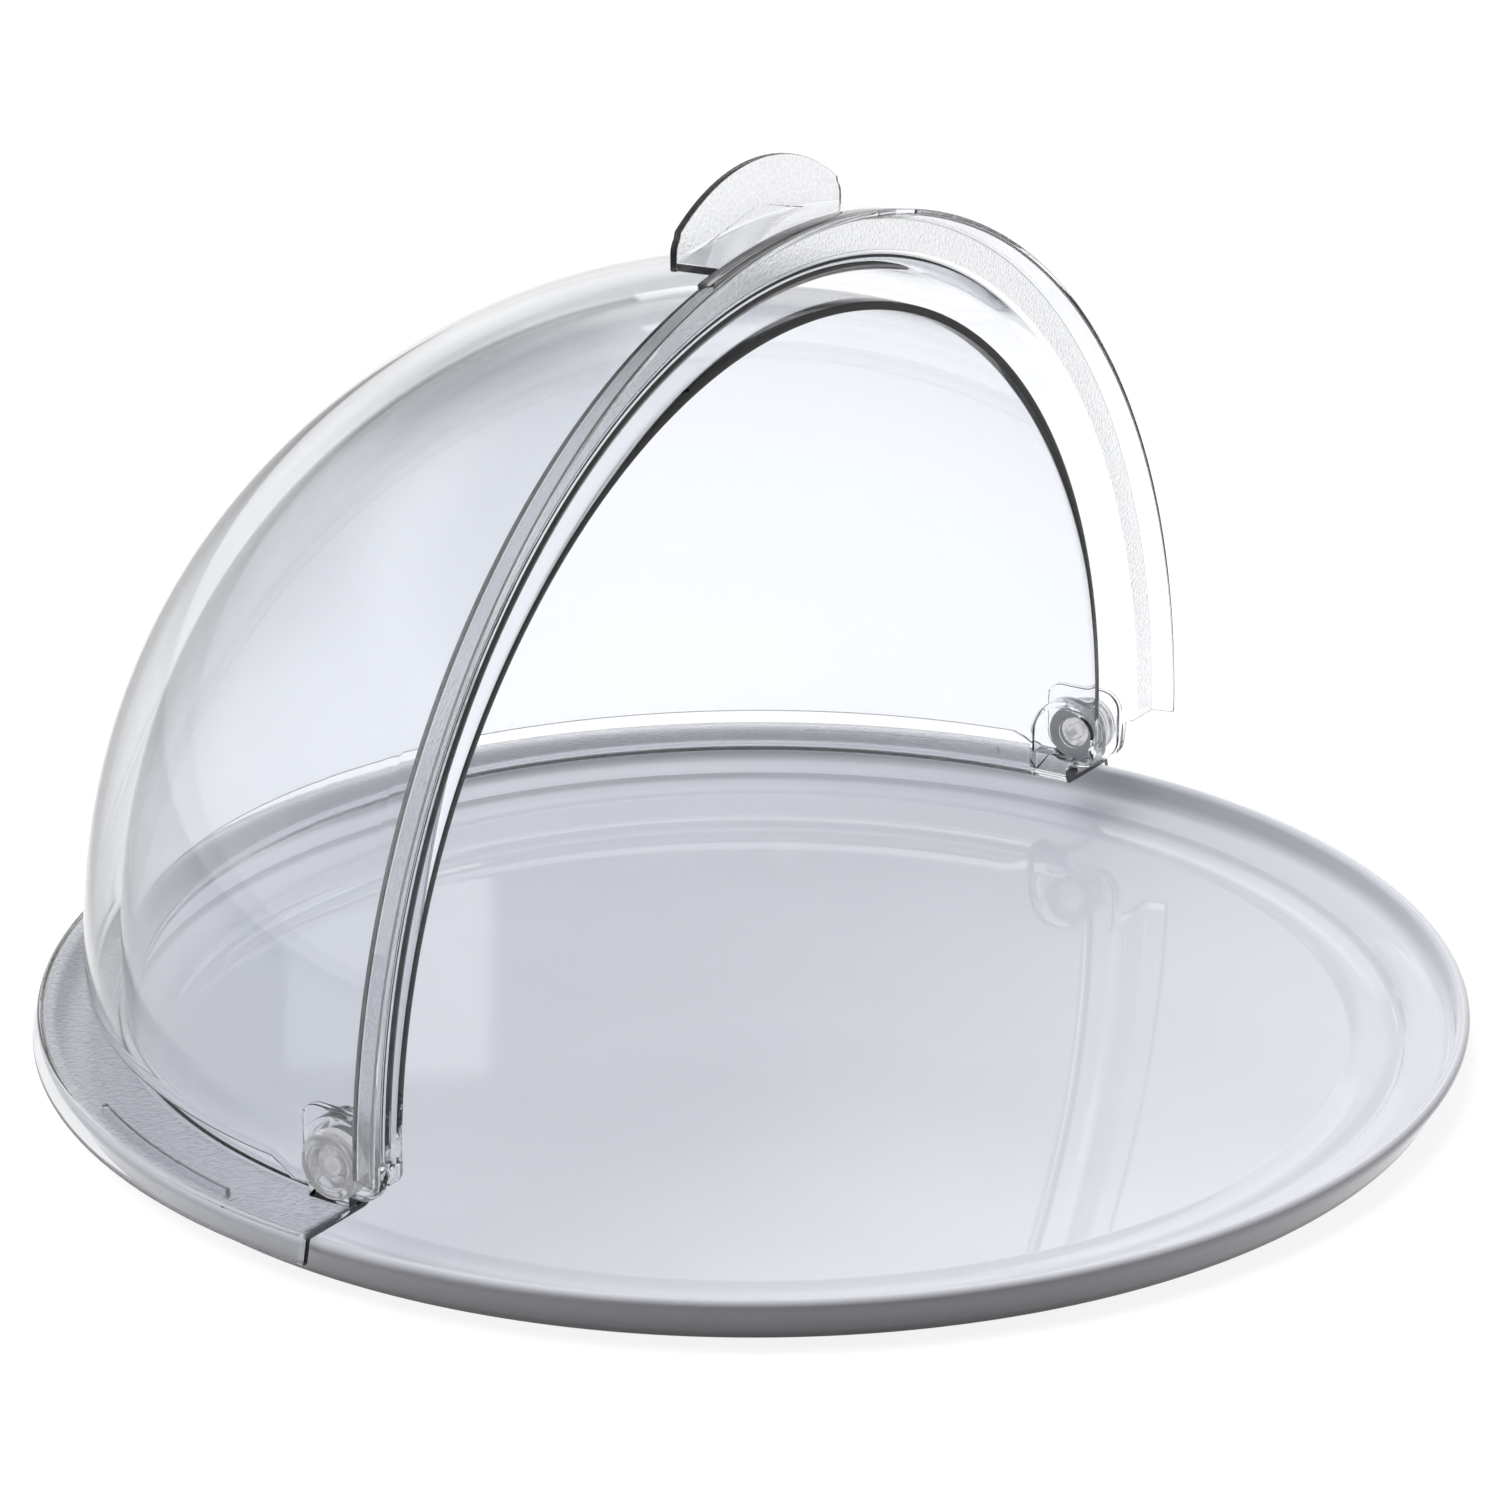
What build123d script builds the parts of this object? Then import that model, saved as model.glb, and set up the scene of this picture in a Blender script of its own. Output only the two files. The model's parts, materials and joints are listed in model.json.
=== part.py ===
from build123d import *
import os
from math import asin, degrees, radians, tan

# Roll-top serving tray: a round tray with a clear cover in two nested domes.
# The rear cover rests on the tray's lip. The front cover turns on two pivots and is
# modelled open, rolled back over the rear cover.
# Millimetres. The origin is the centre of the tray's base, +Z is up, the open side
# faces -Y and the pivot axis lies along X.

# Tray
lip_radius = 190.0
lip_height = 12.0
lip_bead_radius = 1.8
rim_wall = 2.8
rim_draft = 5.1
rim_fillet = 2.6
ledge_width = 10.0
ledge_height = 5.0
ledge_dip = 0.3
step_width = 1.3
moat_width = 13.9
moat_rim_height = 3.4
moat_depth = 1.1
floor_height = 3.0
floor_wall = 2.6
foot_width = 2.4
foot_rounding = 0.8

# Rim and domes that both covers share
seat_clearance = 0.3
skirt_clearance = 1.5
skirt_wall = 1.7
skirt_depth = 7.4
skirt_flare = 2.0
flange_wall = 1.5
flange_rounding = 0.8
skirt_edge_rounding = 0.5
root_fillet = 3.2
dome_wall = 2.3
rear_flange_width = 24.7
dome_gap = 7.4
pivot_rise = 14.2

# Side outline of the covers, measured from the pivot axis
rear_arch_reach = 9.4
rear_arch_lean = 1.6
rear_ear_drop = 9.0
rear_ear_corner = 4.0
front_edge_drop = 5.2
front_ear_drop = 9.0
front_ear_length = 18.5
front_ear_corner = 7.0
front_ear_clearance = 1.5
rim_end_gap = 4.3
rim_end_fillet = 1.0

# Flat pads round the pivots
pad_gap = 0.4
front_pad_depth = 1.2
front_pad_stand = 0.1
front_pad_rear = 11.8
front_pad_top = 13.0
front_pad_corner = 5.6
rear_pad_radius = 11.4
rear_pad_top = 10.3
rear_pad_wall = 2.0

# Pivot button and the cap that locks it from inside
shank_radius = 4.5
running_clearance = 0.08
snug_clearance = 0.04
button_radius = 8.65
button_height = 4.0
button_rounding = 1.2
button_disc_radius = 5.35
button_groove_width = 0.9
button_groove_depth = 0.8
face_clearance = 0.1
cap_radius = 8.0
cap_height = 3.0
cap_rounding = 0.8
cap_ring_radius = 4.6
cap_ring_depth = 0.7
plug_radius = 2.5
plug_length = 7.0

# Handle moulded on the front cover
handle_width = 75.6
shelf_depth = 12.1
shelf_wall = 2.2
shelf_stand = 0.7
tab_wall = 2.0
tab_reach = 15.5
tab_arc_radius = 60.5
tab_corner = 5.0
grip_width = 93.4
grip_stand = 1.2
grip_depth = 5.9

# Locating ribs under the rear flange, which keep the cover centred inside the lip
rib_clearance = 1.2
rib_wall = 1.5
rib_depth = 2.6
rib_angle = 19.0
rib_start_angle = 10.0

# Sizes that follow
rim_inner_radius = lip_radius - lip_bead_radius * 2
ledge_outer_radius = rim_inner_radius - rim_fillet
step_outer_radius = ledge_outer_radius - ledge_width
moat_outer_radius = step_outer_radius - step_width
floor_radius = moat_outer_radius - moat_width
foot_radius = lip_radius - rim_draft
flange_under = lip_height + seat_clearance
flange_top = flange_under + flange_wall
pivot_height = flange_top + pivot_rise
skirt_radius = lip_radius + skirt_clearance + skirt_wall
flange_radius = skirt_radius - skirt_flare
rear_dome_radius = skirt_radius - rear_flange_width
front_dome_inner_radius = rear_dome_radius + dome_gap
front_dome_radius = front_dome_inner_radius + dome_wall
front_pad_inner = front_dome_inner_radius - front_pad_depth
front_pad_outer = front_dome_radius + front_pad_stand
rear_pad_outer = front_pad_inner - pad_gap
rear_pad_base = rear_dome_radius - dome_wall / 2
cap_seat = rear_pad_outer - rear_pad_wall
front_ear_front = pivot_rise - front_ear_clearance
shelf_radius = flange_radius + shelf_stand
shelf_end = shelf_depth - pivot_rise
grip_radius = flange_radius + grip_stand
grip_foot = flange_radius + skirt_flare * grip_depth / skirt_depth
reach = skirt_radius + tab_reach + pivot_height

# Planes through the pivot axis
front_section_plane = Plane.XY.offset(pivot_height)
rear_section_plane = Plane((0, 0, pivot_height), x_dir=(1, 0, 0), z_dir=(0, -1, 0))
side_plane = Plane((0, 0, pivot_height), x_dir=(0, 1, 0), z_dir=(1, 0, 0))
roll_axis = Axis((0, 0, pivot_height), (0, 1, 0))


def pivot_plane(side, distance):
    """Plane square to the pivot axis, facing out, on the +X side (1) or the -X side (-1)"""
    return Plane((side * distance, 0, pivot_height), x_dir=(0, 1, 0), z_dir=(side, 0, 0))


def arch_plane(height):
    """Plane square to the front cover's dome axis, at a height above the pivot axis"""
    return Plane((0, height, pivot_height), x_dir=(-1, 0, 0), z_dir=(0, 1, 0))


def cover_section(plane, dome_radius):
    """Half section of a cover: the dome, straight below its equator, the flange and flared skirt"""
    inner_radius = dome_radius - dome_wall
    flange_bottom = -pivot_rise - flange_wall
    skirt_top_inner = flange_radius + skirt_flare * flange_wall / skirt_depth - skirt_wall
    skirt_bottom = -pivot_rise - skirt_depth
    with BuildSketch(plane) as section:
        with BuildLine():
            Line((0, inner_radius), (0, dome_radius))
            CenterArc((0, 0), dome_radius, 0, 90)
            Line((dome_radius, 0), (dome_radius, root_fillet - pivot_rise))
            root = JernArc((dome_radius, root_fillet - pivot_rise), (0, -1), root_fillet, 90)
            rim = Polyline(
                root @ 1,
                (flange_radius, -pivot_rise),
                (skirt_radius, skirt_bottom),
                (skirt_radius - skirt_wall, skirt_bottom),
                (skirt_top_inner, flange_bottom),
                (inner_radius + root_fillet, flange_bottom),
            )
            inside = JernArc(rim @ 1, (-1, 0), root_fillet, -90)
            Line(inside @ 1, (inner_radius, 0))
            CenterArc((0, 0), inner_radius, 0, 90)
        make_face()
        corners = section.vertices().sort_by_distance((flange_radius, -pivot_rise))
        fillet(corners[0], flange_rounding)
        corners = section.vertices().sort_by_distance((skirt_radius, skirt_bottom))
        fillet(corners[0], skirt_edge_rounding)
    return section.sketch


def rear_pad_outline(plane, radius, drop):
    """Arch-topped outline in the rear cover's pad, down to a drop below the pivot axis"""
    middle = (rear_pad_radius - rear_arch_reach, rear_pad_top - rear_pad_radius)
    with BuildSketch(plane) as outline:
        with Locations(middle):
            Circle(radius)
            Rectangle(radius * 2, drop + middle[1], align=(Align.CENTER, Align.MAX))
    return outline.sketch


def handle_plane(width, radius):
    """Section plane of the front cover at the left end of a strip that is centred on the handle"""
    half_angle = degrees(asin(width / 2 / radius))
    return front_section_plane.rotated((0, -90 - half_angle, 0)), half_angle * 2


# Tray: one moulded disc with a flat floor, a shallow moat, a ledge and a beaded lip
with BuildPart() as tray:
    with BuildSketch(Plane.XZ):
        bead_centre = (lip_radius - lip_bead_radius, lip_height - lip_bead_radius)
        moat_middle = (floor_radius + moat_outer_radius) / 2
        ledge_middle = (step_outer_radius + ledge_outer_radius) / 2
        foot_inner_radius = foot_radius - foot_rounding - foot_width
        under_floor = floor_height - floor_wall
        under_ledge = ledge_height - rim_wall
        with BuildLine():
            Line((0, under_floor), (0, floor_height))
            Line((0, floor_height), (floor_radius, floor_height))
            ThreePointArc(
                (floor_radius, floor_height),
                (moat_middle, floor_height - moat_depth),
                (moat_outer_radius, moat_rim_height),
            )
            Line((moat_outer_radius, moat_rim_height), (step_outer_radius, ledge_height))
            ThreePointArc(
                (step_outer_radius, ledge_height),
                (ledge_middle, ledge_height - ledge_dip),
                (ledge_outer_radius, ledge_height),
            )
            rim_root = JernArc((ledge_outer_radius, ledge_height), (1, 0), rim_fillet, 90)
            Line(rim_root @ 1, (rim_inner_radius, bead_centre[1]))
            lip = CenterArc(bead_centre, lip_bead_radius, -20, 200)
            Line(lip @ 0, (foot_radius, foot_rounding))
            foot = JernArc((foot_radius, foot_rounding), (0, -1), foot_rounding, -90)
            Line(foot @ 1, (foot_inner_radius, 0))
            Line((foot_inner_radius, 0), (foot_inner_radius, under_ledge))
            Line((foot_inner_radius, under_ledge), (step_outer_radius, under_ledge))
            Line((step_outer_radius, under_ledge), (moat_outer_radius, under_floor))
            Line((moat_outer_radius, under_floor), (0, under_floor))
        make_face()
    revolve(axis=Axis.Z)

# Rear cover: the inner half dome, which stays on the tray
with BuildPart() as rear_cover:
    revolve(cover_section(rear_section_plane, rear_dome_radius), axis=Axis.Z)
    # Arch-topped pads that stand out from the dome and run down to the flange
    rear_pad = extrude(
        rear_pad_outline(pivot_plane(1, rear_pad_base), rear_pad_radius, pivot_rise),
        amount=rear_pad_outer - rear_pad_base,
    )
    mirror(rear_pad, about=Plane.YZ)
    # Kept: all behind the leaning arch and, below the ears, all behind the pivot axis
    with BuildSketch(side_plane) as rear_side:
        with BuildLine():
            Polyline(
                (-rear_arch_reach - reach * tan(radians(rear_arch_lean)), reach),
                (-rear_arch_reach, 0),
                (-rear_arch_reach, -rear_ear_drop),
                (0, -rear_ear_drop),
                (0, -reach),
                (reach, -reach),
                (reach, reach),
                close=True,
            )
        make_face()
        corners = rear_side.vertices().sort_by_distance((-rear_arch_reach, -rear_ear_drop))
        fillet(corners[0], rear_ear_corner)
    extrude(amount=reach, both=True, mode=Mode.INTERSECT)
    # Pads hollowed from inside, with a flat seat for each cap and holes for the pivot buttons
    extrude(
        rear_pad_outline(side_plane, rear_pad_radius - rear_pad_wall, rear_ear_drop - rear_pad_wall),
        amount=cap_seat,
        both=True,
        mode=Mode.SUBTRACT,
    )
    with BuildSketch(side_plane):
        Circle(cap_radius + face_clearance)
    extrude(amount=cap_seat, both=True, mode=Mode.SUBTRACT)
    with BuildSketch(side_plane):
        Circle(shank_radius + snug_clearance)
    extrude(amount=reach, both=True, mode=Mode.SUBTRACT)
    # Locating ribs under the flange
    rib_outer_radius = rim_inner_radius - rib_clearance
    with BuildSketch(Plane.XY.offset(flange_under)):
        for middle in (rib_start_angle + rib_angle / 2, 180 - rib_start_angle - rib_angle / 2):
            with BuildLine():
                start = middle - rib_angle / 2
                outer = CenterArc((0, 0), rib_outer_radius, start, rib_angle)
                inner = CenterArc((0, 0), rib_outer_radius - rib_wall, start, rib_angle)
                Line(outer @ 0, inner @ 0)
                Line(outer @ 1, inner @ 1)
            make_face()
    extrude(amount=-rib_depth)

# Front cover: the outer half dome, open, with its ears, pads and handle
with BuildPart() as front_cover:
    revolve(cover_section(front_section_plane, front_dome_radius), axis=roll_axis)
    # Pads with rounded corners, flat inside and outside
    with BuildSketch(pivot_plane(1, front_pad_inner)):
        with Locations(((front_pad_rear - front_ear_front) / 2, (front_pad_top - front_ear_drop) / 2)):
            RectangleRounded(
                front_pad_rear + front_ear_front,
                front_pad_top + front_ear_drop,
                front_pad_corner,
            )
    front_pad = extrude(amount=front_pad_outer - front_pad_inner)
    mirror(front_pad, about=Plane.YZ)
    # Kept: all above the dome's edge, the ears below it and the rim above its ends
    with BuildSketch(side_plane) as front_side:
        with BuildLine():
            edge_step = front_ear_drop - front_edge_drop
            ear = Polyline(
                (-reach, rim_end_gap),
                (-front_ear_front, rim_end_gap),
                (-front_ear_front, -front_ear_drop),
                (front_ear_length, -front_ear_drop),
            )
            step = JernArc(ear @ 1, (0, 1), edge_step, -90)
            Polyline(step @ 1, (reach, -front_edge_drop), (reach, reach), (-reach, reach), ear @ 0)
        make_face()
        corners = front_side.vertices().sort_by_distance((-front_ear_front, -front_ear_drop))
        fillet(corners[0], front_ear_corner)
        corners = front_side.vertices().sort_by_distance((-front_ear_front, rim_end_gap))
        fillet(corners[0], rim_end_fillet)
    extrude(amount=reach, both=True, mode=Mode.INTERSECT)
    # Grip strip on the skirt, which fills its flare and runs out in it near the free edge
    grip_plane, grip_angle = handle_plane(grip_width, grip_radius)
    with BuildSketch(grip_plane):
        with BuildLine():
            Polyline(
                (flange_radius - skirt_wall / 2, -pivot_rise),
                (grip_radius, -pivot_rise),
                (grip_foot, -pivot_rise - grip_depth),
                (grip_foot - skirt_wall / 2, -pivot_rise - grip_depth),
                close=True,
            )
        make_face()
    revolve(axis=roll_axis, revolution_arc=grip_angle)
    # Shelf of the handle, which carries the strip's curve on past the flange
    shelf_plane, shelf_angle = handle_plane(handle_width, shelf_radius)
    with BuildSketch(shelf_plane):
        with BuildLine():
            Polyline(
                (grip_radius - shelf_wall, -pivot_rise - flange_wall / 2),
                (grip_radius, -pivot_rise),
                (shelf_radius, shelf_end),
                (shelf_radius - shelf_wall, shelf_end),
                close=True,
            )
        make_face()
    revolve(axis=roll_axis, revolution_arc=shelf_angle)
    # Tab that the fingers lift, with a bowed edge and rounded corners
    with BuildSketch(arch_plane(shelf_end)) as tab:
        tab_top = shelf_radius + tab_reach
        with Locations((0, tab_top - tab_arc_radius)):
            Circle(tab_arc_radius)
        with Locations((0, tab_top)):
            Rectangle(handle_width, tab_arc_radius, mode=Mode.INTERSECT)
        Circle(shelf_radius - shelf_wall, mode=Mode.SUBTRACT)
        fillet(tab.vertices().group_by(Axis.Y)[-1], tab_corner)
    extrude(amount=tab_wall)
    # Holes in which the cover turns on the pivot buttons
    with BuildSketch(side_plane):
        Circle(shank_radius + running_clearance)
    extrude(amount=reach, both=True, mode=Mode.SUBTRACT)

pieces = {"tray": tray, "rear_cover": rear_cover, "front_cover": front_cover}

# Pivot buttons: a head outside the front cover's pad and a hollow shank through both pads
head_base = front_pad_outer + face_clearance
shank_end = cap_seat + face_clearance
for side, side_name in ((-1, "left"), (1, "right")):
    with BuildPart() as pivot_button:
        with BuildSketch(pivot_plane(side, head_base)):
            Circle(button_radius)
        extrude(amount=button_height)
        rim = pivot_button.edges().filter_by(GeomType.CIRCLE).sort_by(Axis.X)[-1 if side > 0 else 0]
        fillet(rim, button_rounding)
        with BuildSketch(pivot_plane(side, head_base + button_height)):
            Circle(button_disc_radius + button_groove_width)
            Circle(button_disc_radius, mode=Mode.SUBTRACT)
        extrude(amount=-button_groove_depth, mode=Mode.SUBTRACT)
        with BuildSketch(pivot_plane(side, shank_end)):
            Circle(shank_radius)
        extrude(amount=head_base - shank_end)
        with BuildSketch(pivot_plane(side, shank_end)):
            Circle(plug_radius + snug_clearance)
        extrude(amount=plug_length + face_clearance, mode=Mode.SUBTRACT)
    pieces[f"{side_name}_pivot_button"] = pivot_button

    # Cap inside the rear cover, with a plug that locks in the shank
    with BuildPart() as pivot_cap:
        with BuildSketch(pivot_plane(side, cap_seat - cap_height)):
            Circle(cap_radius)
        extrude(amount=cap_height)
        rim = pivot_cap.edges().filter_by(GeomType.CIRCLE).sort_by(Axis.X)[0 if side > 0 else -1]
        fillet(rim, cap_rounding)
        with BuildSketch(pivot_plane(side, cap_seat - cap_height)):
            Circle(cap_ring_radius)
        extrude(amount=cap_ring_depth, mode=Mode.SUBTRACT)
        with BuildSketch(pivot_plane(side, cap_seat)):
            Circle(plug_radius)
        extrude(amount=plug_length)
    pieces[f"{side_name}_pivot_cap"] = pivot_cap

os.makedirs("parts", exist_ok=True)
for name, piece in pieces.items():
    piece.part.label = name
    export_step(piece.part, f"parts/{name}.step")
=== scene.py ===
"""Roll-top serving tray: a light grey tray under a clear cover in two nested half domes.

The frame gives every place in metres: the pivot axis lies along X, the open side faces
-Y and the tray stands on Z = 0. Each piece below is a surface worked out with numpy.
"""

import json
from math import asin, cos, pi, radians, sin, tan

import bmesh
import bpy
import numpy as np
from bpy.props import FloatProperty, FloatVectorProperty, PointerProperty, StringProperty
from bpy.types import Operator, Panel, PropertyGroup
from mathutils import Matrix, Vector


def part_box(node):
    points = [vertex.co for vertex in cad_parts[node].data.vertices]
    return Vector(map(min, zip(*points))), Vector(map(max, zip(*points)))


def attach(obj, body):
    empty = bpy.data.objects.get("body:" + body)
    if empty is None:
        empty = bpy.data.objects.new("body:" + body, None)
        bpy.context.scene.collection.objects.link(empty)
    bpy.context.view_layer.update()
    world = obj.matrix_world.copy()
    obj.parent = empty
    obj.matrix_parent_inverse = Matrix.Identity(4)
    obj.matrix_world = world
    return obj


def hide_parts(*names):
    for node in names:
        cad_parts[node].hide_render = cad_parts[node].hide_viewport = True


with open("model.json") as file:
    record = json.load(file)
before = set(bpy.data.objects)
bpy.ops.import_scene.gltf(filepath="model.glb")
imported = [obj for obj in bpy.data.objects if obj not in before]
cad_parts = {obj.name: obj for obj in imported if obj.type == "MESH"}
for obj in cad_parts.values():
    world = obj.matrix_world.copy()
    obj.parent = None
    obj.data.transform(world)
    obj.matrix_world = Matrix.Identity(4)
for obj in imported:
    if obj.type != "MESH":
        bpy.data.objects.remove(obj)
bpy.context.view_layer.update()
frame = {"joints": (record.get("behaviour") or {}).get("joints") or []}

bl_info = {
    "name": "Roll-top serving tray",
    "version": (1, 0, 0),
    "blender": (4, 5, 0),
    "location": "View3D > Sidebar > Roll-top tray",
    "description": "Builds the tray, its clear covers, its pivots and the stage",
    "category": "Object",
}

MM = 0.001
# Points nearer than this, in metres, are one point
WELD = 1e-6

# Places that the frame gives
TRAY_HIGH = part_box("tray")[1]
REAR_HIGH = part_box("rear_cover")[1]
FRONT_LOW, FRONT_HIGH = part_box("front_cover")
BUTTON_LOW, BUTTON_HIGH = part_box("right_pivot_button")
CAP_LOW, CAP_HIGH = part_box("right_pivot_cap")
PIVOT_HEIGHT = next(j["pos_m"][2] for j in frame["joints"] if j["name"] == "cover_roll")


def length(name, description, default):
    """A length that the user can change, in metres"""
    return FloatProperty(name=name, description=description, default=default, unit="LENGTH", precision=5)


def turn(name, description, default):
    """An angle that the user can change, given here in degrees"""
    return FloatProperty(name=name, description=description, default=radians(default), unit="ROTATION")


def colour(name, description, default):
    """An sRGB colour that the user can change, in hex"""
    return StringProperty(name=name, description=description, default=default)


class TraySizes(PropertyGroup):
    """Sizes of the tray's section"""

    lip_radius: length("Lip radius", "Outer edge of the lip", TRAY_HIGH.x)
    lip_height: length("Lip height", "Top of the lip above the table", TRAY_HIGH.z)
    bead_radius: length("Bead radius", "Radius of the rounded lip", 1.8 * MM)
    rim_draft: length("Rim draft", "How far the outer wall leans in towards the table", 5.1 * MM)
    rim_wall: length("Rim wall", "Thickness of the rim", 2.8 * MM)
    rim_fillet: length("Rim fillet", "Round corner between ledge and rim", 3.6 * MM)
    ledge_width: length("Ledge width", "Flat ring inside the rim", 9.0 * MM)
    ledge_height: length("Ledge height", "Top of that ring above the table", 3.2 * MM)
    ledge_dip: length("Ledge dip", "How far the ring is hollowed", 0.3 * MM)
    step_width: length("Step width", "Slope between ledge and moat", 1.3 * MM)
    moat_width: length("Moat width", "Shallow channel round the floor", 13.9 * MM)
    moat_rim: length("Moat rim", "Height of the moat's outer edge", 1.6 * MM)
    moat_depth: length("Moat depth", "Depth of the moat below the floor", 0.8 * MM)
    floor_height: length("Floor height", "Top of the flat floor above the table", 1.3 * MM)
    floor_wall: length("Floor wall", "Thickness of the floor", 1.2 * MM)
    foot_width: length("Foot width", "Flat ring that the tray stands on", 2.4 * MM)
    foot_rounding: length("Foot rounding", "Round edge of the foot", 0.8 * MM)
    edge_rounding: length("Edge rounding", "Round edge of the floor and the step", 0.3 * MM)


class CoverSizes(PropertyGroup):
    """Sizes of both covers, measured from the pivot axis"""

    wall: length("Dome wall", "Thickness of the domes", 2.3 * MM)
    rear_radius: length("Rear dome radius", "Outside of the rear dome", REAR_HIGH.z - PIVOT_HEIGHT)
    front_radius: length("Front dome radius", "Outside of the front dome", FRONT_HIGH.y)
    skirt_radius: length("Skirt radius", "Outside of the skirt at its lower edge", REAR_HIGH.x)
    skirt_flare: length("Skirt flare", "How far the skirt widens below the flange", 1.85 * MM)
    skirt_wall: length("Skirt wall", "Thickness of the skirt", 1.7 * MM)
    skirt_rounding: length("Skirt rounding", "Round edges of the skirt", 0.493 * MM)
    skirt_drop: length("Skirt drop", "Lower edge of the skirt below the axis", -FRONT_LOW.y)
    flange_drop: length("Flange drop", "Top of the flange below the axis", 14.2 * MM)
    flange_wall: length("Flange wall", "Thickness of the flange", 1.5 * MM)
    root_fillet: length("Root fillet", "Round corner between dome and flange", 3.2 * MM)
    flange_rounding: length("Flange rounding", "Round outer edge of the flange", 0.8 * MM)
    edge_rounding: length("Edge rounding", "Round edges of the cut sides", 0.35 * MM)
    arch_reach: length("Arch reach", "How far the rear dome runs in front of the axis", 9.4 * MM)
    arch_lean: turn("Arch lean", "Forward lean of the arch", 1.6)
    ear_drop: length("Ear drop", "Lower edge of the ears below the axis", PIVOT_HEIGHT - FRONT_LOW.z)
    rear_ear_corner: length("Rear ear corner", "Round corner of the rear ears", 4.0 * MM)
    front_edge_drop: length("Front edge drop", "Edge of the front dome below the axis", 5.2 * MM)
    front_ear_length: length("Front ear length", "Rear end of the front ears", 18.5 * MM)
    front_ear_reach: length("Front ear reach", "Front end of the front ears", 12.7 * MM)
    front_ear_corner: length("Front ear corner", "Round corner of the front ears", 7.0 * MM)
    rim_end_gap: length("Rim end gap", "Ends of the front rim above the axis", 4.3 * MM)
    rib_radius: length("Rib radius", "Outside of the ribs under the rear flange", 185.2 * MM)
    rib_wall: length("Rib wall", "Thickness of those ribs", 1.5 * MM)
    rib_depth: length("Rib depth", "How far the ribs hang below the flange", 2.6 * MM)
    rib_rounding: length("Rib rounding", "Round edges of the ribs", 0.25 * MM)
    rib_start: turn("Rib start", "Where each rib starts, from the middle of the back", 61)
    rib_angle: turn("Rib angle", "How far round each rib runs", 19)


class PadSizes(PropertyGroup):
    """Sizes of the flat pads round the pivots and of the handle"""

    rear_inner: length("Rear pad inside", "Flat seat of the cap", CAP_HIGH.x - 7.0 * MM)
    rear_outer: length("Rear pad outside", "Flat face towards the front cover", 174.3 * MM)
    rear_arch: length("Rear pad arch", "Radius of the pad's arched top", 11.0 * MM)
    rear_top: length("Rear pad top", "Top of the arch above the axis", 10.0 * MM)
    rear_wall: length("Rear pad wall", "Wall round the pocket inside the pad", 2.0 * MM)
    front_inner: length("Front pad inside", "Flat face towards the rear cover", 174.7 * MM)
    front_outer: length("Front pad outside", "Flat face under the button", 178.3 * MM)
    front_rear: length("Front pad rear", "Rear edge of the pad", 11.8 * MM)
    front_top: length("Front pad top", "Top edge of the pad", 13.0 * MM)
    front_corner: length("Front pad corner", "Round corners of the pad", 5.6 * MM)
    inset: length("Inset", "How far the pads stay inside the ears' edges", 0.45 * MM)
    handle_width: length("Handle width", "Width of the tab and its shelf", 75.6 * MM)
    shelf_depth: length("Shelf depth", "From the flange to the tab", 12.1 * MM)
    shelf_wall: length("Shelf wall", "Thickness of the shelf", 2.2 * MM)
    shelf_stand: length("Shelf stand", "How far the shelf's end stands out past the flange", 0.7 * MM)
    shelf_root: length("Shelf root", "How far the shelf's face starts below the flange's top", 0.5 * MM)
    shelf_inset: length("Shelf inset", "How much narrower the shelf is than the tab", 0.3 * MM)
    shelf_rounding: length("Shelf rounding", "Round edges of the shelf", 0.25 * MM)
    tab_wall: length("Tab wall", "Thickness of the tab", 2.0 * MM)
    tab_arc: length("Tab arc", "Radius of the tab's bowed edge", 60.5 * MM)
    tab_corner: length("Tab corner", "Round corners of the tab", 5.0 * MM)
    tab_shoulder: length("Tab shoulder", "Where the bowed edge ends, inside the tab's sides", 2.0 * MM)
    tab_rounding: length("Tab rounding", "Round edges of the tab", 0.35 * MM)
    grip_width: length("Strip width", "Width of the strip on the skirt", 93.4 * MM)
    grip_stand: length("Strip stand", "How far the strip stands out past the flange", 1.2 * MM)
    grip_depth: length("Strip depth", "Where the strip runs out below the flange", 5.9 * MM)
    grip_root: length("Strip root", "How far the strip reaches into the skirt", 1.02 * MM)
    grip_toe: length("Strip toe", "How far the strip's root runs on below its face", 0.5 * MM)
    grip_rounding: length("Strip rounding", "Round edges of the strip", 0.3 * MM)
    overlap: length("Overlap", "How far the handle's forms run into one another", 0.1 * MM)


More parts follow.
